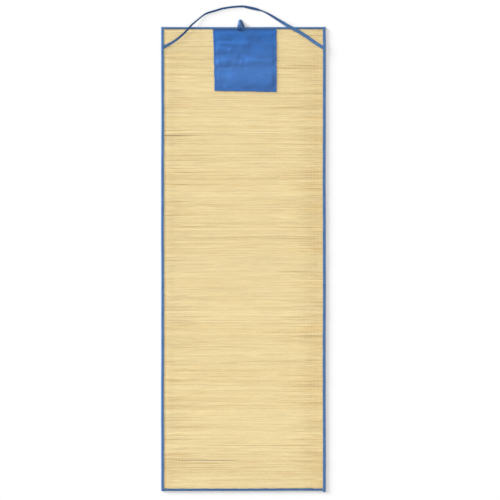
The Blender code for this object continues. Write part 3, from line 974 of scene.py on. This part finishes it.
# from and to as shares of the panel's width and depth, from its lower left corner, then the half width
# across the fold and its height, both in mm
PANEL_FOLDS = (
    (0.00, 0.93, 0.34, 0.93, 8, 1.0),
    (0.00, 0.80, 0.30, 0.79, 9, -0.9),
    (0.12, 0.755, 0.54, 0.735, 8, 1.5),
    (0.74, 0.97, 0.97, 0.95, 7, 1.0),
    (0.78, 0.83, 0.99, 0.80, 11, -1.7),
    (0.06, 0.66, 0.26, 0.64, 10, 1.1),
    (0.26, 0.64, 0.37, 0.57, 8, 1.5),
    (0.02, 0.575, 0.20, 0.575, 7, -1.0),
    (0.20, 0.565, 0.40, 0.48, 8, -1.6),
    (0.02, 0.455, 0.20, 0.45, 11, 1.8),
    (0.18, 0.50, 0.34, 0.43, 8, 1.0),
    (0.34, 0.43, 0.52, 0.33, 13, 0.8),
    (0.05, 0.38, 0.24, 0.37, 6, -1.4),
    (0.56, 0.475, 0.95, 0.47, 11, 1.7),
    (0.48, 0.39, 0.97, 0.38, 9, -0.8),
    (0.30, 0.18, 0.90, 0.17, 24, 2.4),
    (0.66, 0.07, 0.97, 0.06, 9, -0.5),
    (0.06, 0.13, 0.14, 0.08, 8, -0.9),
    (0.37, 0.07, 0.43, 0.05, 6, -0.6),
    (0.26, 0.12, 0.34, 0.07, 9, -0.5),
    (0.46, 0.70, 0.56, 0.88, 16, 0.8),
)


def fold_height(share_x, share_y, wide, deep):
    """The folds' height at places given in shares of the panel's width and depth."""
    high = np.zeros_like(share_x)
    for from_x, from_y, to_x, to_y, half_width, top in PANEL_FOLDS:
        run = np.array([(to_x - from_x) * wide, (to_y - from_y) * deep])
        gone = np.stack([(share_x - from_x) * wide, (share_y - from_y) * deep])
        t = np.clip((gone[0] * run[0] + gone[1] * run[1]) / (run @ run), 0, 1)
        away = np.hypot(gone[0] - t * run[0], gone[1] - t * run[1]) / (half_width * MM)
        high = high + top * MM * np.exp(-away * away)
    return high


bpy.ops.object.select_all(action="DESELECT")
bpy.ops.mesh.primitive_grid_add(x_subdivisions=PANEL_CUTS, y_subdivisions=PANEL_CUTS, size=1.0)
panel = bpy.context.object
panel.name = "nylon_panel"
grid = np.empty(len(panel.data.vertices) * 3)
panel.data.vertices.foreach_get("co", grid)
grid = grid.reshape(-1, 3)
u, v = grid[:, 0] + 0.5, grid[:, 1] + 0.5
edge_wave = uneven(1.2, 0.35 * MM, 0.06, 61)
left = PANEL_LEFT_BOTTOM + (PANEL_LEFT_TOP - PANEL_LEFT_BOTTOM) * v + edge_wave(v - 0.5) * (1 - u)
wide = PANEL_RIGHT + edge_wave(0.4 - v) * u - left
deep = PANEL_DEPTH_LEFT + (PANEL_DEPTH_RIGHT - PANEL_DEPTH_LEFT) * u
top_y = HALF_LENGTH - BINDING_WIDTH["top"] + PANEL_TUCK
bottom_y = HALF_LENGTH - deep + edge_wave(u - 0.4) * (1 - v)
panel_x = left + wide * u
panel_y = bottom_y + (top_y - bottom_y) * v
from_top = (1 - v) * 0.235
border = np.minimum(np.minimum(u, 1 - u) * 0.23, np.minimum(v * 0.235, from_top))
inside = smooth((np.minimum(border, from_top - 9 * MM) - 3 * MM) / (16 * MM))
hem = smooth(border / (1.2 * MM)) * (1 - smooth((border - HEM_WIDTH) / (1.5 * MM)))
away_from_top = smooth(from_top / (12 * MM))
puff = (PANEL_PUFF + fold_height(u, v, 0.23, 0.235)) * inside + 0.35 * MM * hem * away_from_top
puff += 0.5 * MM * (1 - smooth((from_top - PANEL_TUCK) / (6.5 * MM))) * (0.3 + 0.7 * smooth((u - 0.3) / 0.3))
panel_z = straw_top(panel_x, panel_y) + PLAY + 0.35 * MM + np.maximum(puff, 0)
panel.data.vertices.foreach_set("co", np.stack([panel_x, panel_y, panel_z], axis=1).ravel())
solid = panel.modifiers.new("thickness", "SOLIDIFY")
solid.thickness = 0.7 * MM
solid.offset = 0.0
bpy.context.view_layer.objects.active = panel
bpy.ops.object.modifier_apply(modifier="thickness")
panel.data.materials.append(panel_finish)
panel.data.shade_smooth()
panel.data.set_sharp_from_angle(angle=math.radians(60))
print("panel stands", round(float(panel_z.max()) * 1000, 1), "mm above the floor at most")

# %% [markdown]
# ## The sewing
# All seams are lock stitches: one row of blue thread along the inner edge of each binding, one round
# the panel's hem, and a close patch of navy thread that holds the loop's root. One stitch is modelled
# as a small rounded spindle of six sides, and copied along every seam, sunk halfway into the cloth.

# %% Stitch
STITCH_LENGTH = 3.1 * MM
STITCH_THICK = 0.55 * MM


def sewing_thread(name, dark, light):
    """A sewing thread's finish, its plies a little lighter and darker along it."""
    finish, tree, shader = new_finish(name, 0.55)
    place = add_node(tree, "ShaderNodeTexCoord")
    ply = add_node(
        tree, "ShaderNodeTexNoise", [(place.outputs["Object"], "Vector")], Scale=1 / (6 * MM), Detail=2.0
    )
    ramp = add_node(tree, "ShaderNodeValToRGB", [(ply.outputs["Fac"], "Fac")])
    set_ramp(ramp, (0.3, dark), (0.7, light))
    tree.links.new(ramp.outputs["Color"], shader.inputs["Base Color"])
    return finish


thread_finish = sewing_thread("blue_sewing_thread", "#2B5592", "#4472AE")
navy_finish = sewing_thread("navy_sewing_thread", "#0C2F6E", "#174390")
LOOP_MIDDLE = -12.6 * MM

bpy.ops.object.select_all(action="DESELECT")
bpy.ops.mesh.primitive_uv_sphere_add(segments=6, ring_count=4, radius=0.5, rotation=(0, math.pi / 2, 0))
stitch = bpy.context.object
bpy.ops.object.transform_apply(location=False, rotation=True, scale=False)
stitch_points = np.array([v.co[:] for v in stitch.data.vertices])
stitch_faces = [list(f.vertices) for f in stitch.data.polygons]
bpy.data.objects.remove(stitch)


def seam(name, places, ways, finish=None):
    """A row of stitches. places are their middles and ways the directions that they lie in."""
    places, ways = np.asarray(places), np.asarray(ways, dtype=float)
    ways = ways / np.linalg.norm(ways, axis=1)[:, None]
    up = np.array([0.0, 0.0, 1.0])
    across = np.cross(up, ways)
    across /= np.linalg.norm(across, axis=1)[:, None]
    normal = np.cross(ways, across)
    scaled = stitch_points * (STITCH_LENGTH, STITCH_THICK, STITCH_THICK)
    points = places[:, None, :] + (
        scaled[None, :, [0]] * ways[:, None, :] + scaled[None, :, [1]] * across[:, None, :]
        + scaled[None, :, [2]] * normal[:, None, :]
    )
    return joined_copies(name, points, stitch_faces, finish or thread_finish)


# %% Seams of the bindings
def binding_seams():
    places, ways = [], []
    for side, width in ((-1, BINDING_WIDTH["left"]), (1, BINDING_WIDTH["right"])):
        slack = uneven(1.75, 0.12 * MM, 23 * MM, 22 if side < 0 else 32)
        count = int(2 * (HALF_LENGTH - 4 * MM) / STITCH_PITCH)
        for k in range(count):
            y = -HALF_LENGTH + 4 * MM + (k + 0.5) * STITCH_PITCH
            tall = BINDING_HEIGHT + float(swell(y - STRAP_END_Y, 14 * MM)) + float(slack(y))
            places.append((float(side_x(y, side)) - side * (width * 0.72), y, tall - 0.22 * MM))
            ways.append((0, 1, 0))
    for end, width in ((1, BINDING_WIDTH["top"]), (-1, BINDING_WIDTH["bottom"])):
        slack = uneven(0.62, 0.12 * MM, 23 * MM, 42 if end > 0 else 52)
        count = int((2 * HALF_WIDTH - 24 * MM) / STITCH_PITCH)
        for k in range(count):
            x = -HALF_WIDTH + 12 * MM + (k + 0.5) * STITCH_PITCH
            tall = BINDING_HEIGHT + float(slack(x))
            if end > 0:
                tall += float(swell(x - PANEL_MIDDLE, PANEL_SPAN))
            places.append((x, float(end_y(x, end)) - end * (width * 0.72), tall - 0.22 * MM))
            ways.append((1, 0, 0))
    return seam("binding_stitches", places, ways)


def panel_seam():
    """One row of stitches round the three free sides of the panel, 4 mm inside them."""
    inset = 4 * MM
    top = HALF_LENGTH - BINDING_WIDTH["top"] - 1 * MM
    lines = (
        ((PANEL_LEFT_TOP + inset, top), (PANEL_LEFT_BOTTOM + inset, HALF_LENGTH - PANEL_DEPTH_LEFT + inset)),
        ((PANEL_LEFT_BOTTOM + inset, HALF_LENGTH - PANEL_DEPTH_LEFT + inset),
         (PANEL_RIGHT - inset, HALF_LENGTH - PANEL_DEPTH_RIGHT + inset)),
        ((PANEL_RIGHT - inset, HALF_LENGTH - PANEL_DEPTH_RIGHT + inset), (PANEL_RIGHT - inset, top)),
    )
    places, ways = [], []
    for start, end in lines:
        start, end = np.array(start), np.array(end)
        count = int(np.linalg.norm(end - start) / STITCH_PITCH)
        for k in range(count):
            x, y = start + (end - start) * (k + 0.5) / count
            near = np.argmin(np.hypot(panel_x - x, panel_y - y))
            places.append((x, y, panel_z[near] + 0.38 * MM))
            ways.append((*(end - start), 0))
    return seam("panel_stitches", places, ways)


def loop_patch():
    """Close rows of dark stitches that hold the loop's root to the head binding."""
    places, ways = [], []
    for row in range(15):
        beyond = -1.6 * MM - row * 0.85 * MM
        high = 5.8 * MM + TAPE + 0.1 * MM
        high -= 1.2 * MM * float(smooth((-beyond - 8.2 * MM) / (4.5 * MM)))
        for k in range(6):
            x = LOOP_MIDDLE + (k - 2.5 + 0.5 * (row % 2) - 0.25) * 2.75 * MM
            places.append((x, HALF_LENGTH + beyond, high))
            ways.append((1, 0.12 * (-1) ** row, 0))
    return seam("loop_root_stitches", places, ways, navy_finish)


seams = [binding_seams(), panel_seam(), loop_patch()]
for made in seams:
    print(made.name, len(made.data.polygons), "faces")

# %% [markdown]
# ## Put the pieces on the imported model
# The mat has no moving part, so every piece rides on the one body. Each made piece stands for a packed
# node, which is hidden.

# %% Ride and replace
STRAP_LENGTH = 0.66
for made, node, slot, flat, on_it in (
    (stems, "straw_mat", "woven_straw", (2 * HALF_WIDTH - 4 * MM, 2 * HALF_LENGTH - 4 * MM), threads),
    (left_binding, "binding_left", "blue_tape", (22 * MM, 1.70), [seams[0]]),
    (right_binding, "binding_right", "blue_tape", (23 * MM, 1.70), [seams[0]]),
    (top_binding, "binding_top", "blue_tape", (19 * MM, 0.58), [seams[0]]),
    (bottom_binding, "binding_bottom", "blue_tape", (20 * MM, 0.58), [seams[0]]),
    (panel, "head_panel", "blue_panel_cloth", (0.232, 0.237), [seams[1]]),
    (strap, "carry_strap", "blue_tape", (STRAP_WIDTH, STRAP_LENGTH), []),
    (loop_tape, "closing_loop", "blue_tape", (STRAP_WIDTH, 0.088), [seams[2]]),
):
    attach(made, "root")
    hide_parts(node)
for made, slot in [(t, "woven_straw") for t in threads] + [(s, "blue_tape") for s in seams]:
    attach(made, "root")
